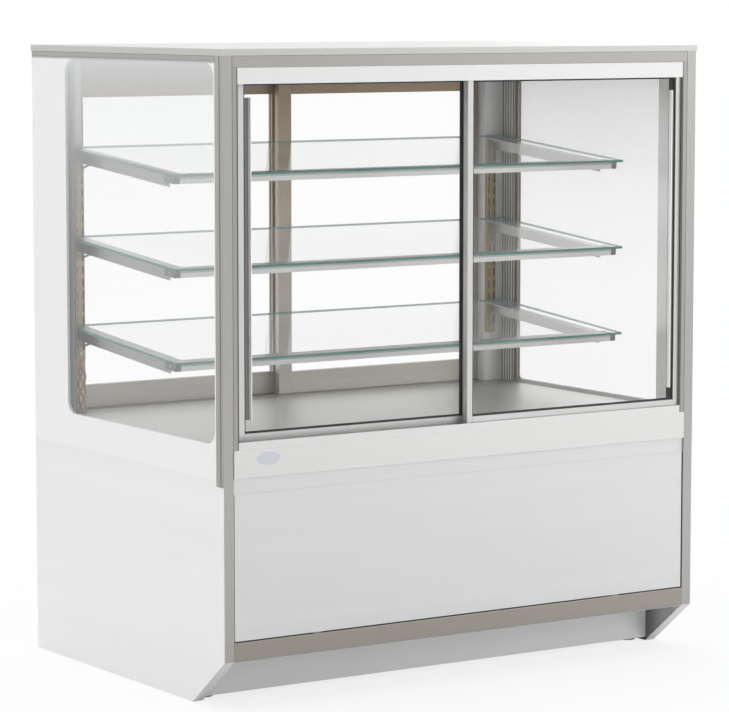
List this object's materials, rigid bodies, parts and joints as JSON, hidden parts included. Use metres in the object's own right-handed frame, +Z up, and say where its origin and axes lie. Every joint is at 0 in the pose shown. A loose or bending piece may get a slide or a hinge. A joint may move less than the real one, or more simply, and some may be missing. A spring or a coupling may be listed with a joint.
{
  "type": "self-service bakery case",
  "caption": "Free-standing glazed bakery case with sloping glass shelves, sliding front and rear doors and a closed sheet-metal base.",
  "frame": {"origin": "on the floor, under the middle of the footprint", "axes": "+Z up, +X to the right for someone facing the front doors, +Y from the front towards the back"},
  "size_m": [1.219, 0.82, 1.35],
  "materials": {
    "brushed_steel": "brushed stainless steel",
    "satin_steel": "satin stainless steel",
    "silver_paint": "satin silver paint",
    "galvanised": "galvanised sheet",
    "zinc": "zinc plated",
    "satin_alloy": "satin anodised",
    "rear_alloy": "satin anodised",
    "clear_glass": "clear with polished edges",
    "dark_seal": "matte black",
    "lamp_housing": "white paint",
    "lamp_lens": "opal diffuser",
    "grey_plastic": "matte",
    "black_plastic": "matte",
    "nylon": "natural nylon",
    "lead_sheath": "matte black sheath"
  },
  "bodies": {
    "cabinet": {"badge_plate": "brushed_steel", "base_floor": "galvanised", "base_frame": "galvanised", "corner_post_left": "brushed_steel", "corner_post_right": "brushed_steel", "deck": "satin_steel", "driver_box": "lamp_housing", "end_frame_left": "silver_paint", "end_frame_right": "silver_paint", "end_glass_left": "clear_glass", "end_glass_right": "clear_glass", "end_panel_left": "silver_paint", "end_panel_right": "silver_paint", "end_seals": "dark_seal", "front_door_sill": "satin_steel", "front_header": "silver_paint", "front_jambs": "satin_steel", "front_panel": "silver_paint", "front_rail": "brushed_steel", "header_lamp": "lamp_housing", "header_lamp_lens": "lamp_lens", "kick_plate": "satin_steel", "lamp_leads": "lead_sheath", "levelling_feet": "zinc", "lower_posts": "brushed_steel", "panel_screws": "zinc", "power_inlet": "black_plastic", "rear_door_sill": "rear_alloy", "rear_header": "rear_alloy", "rear_panel": "galvanised", "shelf_arms": "satin_steel", "shelf_glass_bottom": "clear_glass", "shelf_glass_middle": "clear_glass", "shelf_glass_top": "clear_glass", "shelf_light_bars": "lamp_housing", "shelf_light_end_caps": "grey_plastic", "shelf_light_lenses": "lamp_lens", "shelf_standards": "galvanised", "sill_nose": "silver_paint", "switch_housing": "black_plastic", "top_panel": "brushed_steel", "top_rails": "brushed_steel", "trim_strip": "satin_steel"},
    "front_left_door": {"front_left_door_frame": "satin_alloy", "front_left_door_gasket": "dark_seal", "front_left_door_glass": "clear_glass", "front_left_door_pull": "satin_alloy"},
    "front_right_door": {"front_right_door_frame": "satin_alloy", "front_right_door_gasket": "dark_seal", "front_right_door_glass": "clear_glass", "front_right_door_pull": "satin_alloy"},
    "rear_left_door": {"rear_left_door_frame": "rear_alloy", "rear_left_door_glass": "clear_glass"},
    "rear_right_door": {"rear_right_door_frame": "rear_alloy", "rear_right_door_glass": "clear_glass"},
    "front_left_door_roller_a": {"front_left_door_roller_a": "nylon"},
    "front_left_door_roller_b": {"front_left_door_roller_b": "nylon"},
    "front_right_door_roller_a": {"front_right_door_roller_a": "nylon"},
    "front_right_door_roller_b": {"front_right_door_roller_b": "nylon"},
    "lamp_switch": {"switch_rocker": "black_plastic"}
  },
  "joints": [
    {"name": "front_left_door_slide", "type": "slide", "parent": "cabinet", "child": "front_left_door", "axis": [1, 0, 0], "range_m": [0, 0.534]},
    {"name": "front_right_door_slide", "type": "slide", "parent": "cabinet", "child": "front_right_door", "axis": [1, 0, 0], "range_m": [-0.568, 0]},
    {"name": "rear_left_door_slide", "type": "slide", "parent": "cabinet", "child": "rear_left_door", "axis": [1, 0, 0], "range_m": [0, 0.525]},
    {"name": "rear_right_door_slide", "type": "slide", "parent": "cabinet", "child": "rear_right_door", "axis": [1, 0, 0], "range_m": [-0.525, 0]},
    {"name": "front_left_door_roller_a_spin", "type": "hinge", "parent": "front_left_door", "child": "front_left_door_roller_a", "pos_m": [-0.4935, -0.373, 0.5513], "axis": [0, 1, 0], "range_deg": [-5, 5110]},
    {"name": "front_left_door_roller_b_spin", "type": "hinge", "parent": "front_left_door", "child": "front_left_door_roller_b", "pos_m": [-0.0415, -0.373, 0.5513], "axis": [0, 1, 0], "range_deg": [-5, 5110]},
    {"name": "front_right_door_roller_a_spin", "type": "hinge", "parent": "front_right_door", "child": "front_right_door_roller_a", "pos_m": [0.0585, -0.396, 0.5513], "axis": [0, 1, 0], "range_deg": [-5435, 5]},
    {"name": "front_right_door_roller_b_spin", "type": "hinge", "parent": "front_right_door", "child": "front_right_door_roller_b", "pos_m": [0.5105, -0.396, 0.5513], "axis": [0, 1, 0], "range_deg": [-5435, 5]},
    {"name": "lamp_switch_rock", "type": "hinge", "parent": "cabinet", "child": "lamp_switch", "pos_m": [0.33, 0.3955, 0.2], "axis": [1, 0, 0], "range_deg": [0, 16]}
  ],
  "couplings": [
    {"joint": "front_left_door_roller_a_spin", "follows": "front_left_door_slide", "rad_per_m": 166.67},
    {"joint": "front_left_door_roller_b_spin", "follows": "front_left_door_slide", "rad_per_m": 166.67},
    {"joint": "front_right_door_roller_a_spin", "follows": "front_right_door_slide", "rad_per_m": 166.67},
    {"joint": "front_right_door_roller_b_spin", "follows": "front_right_door_slide", "rad_per_m": 166.67}
  ]
}
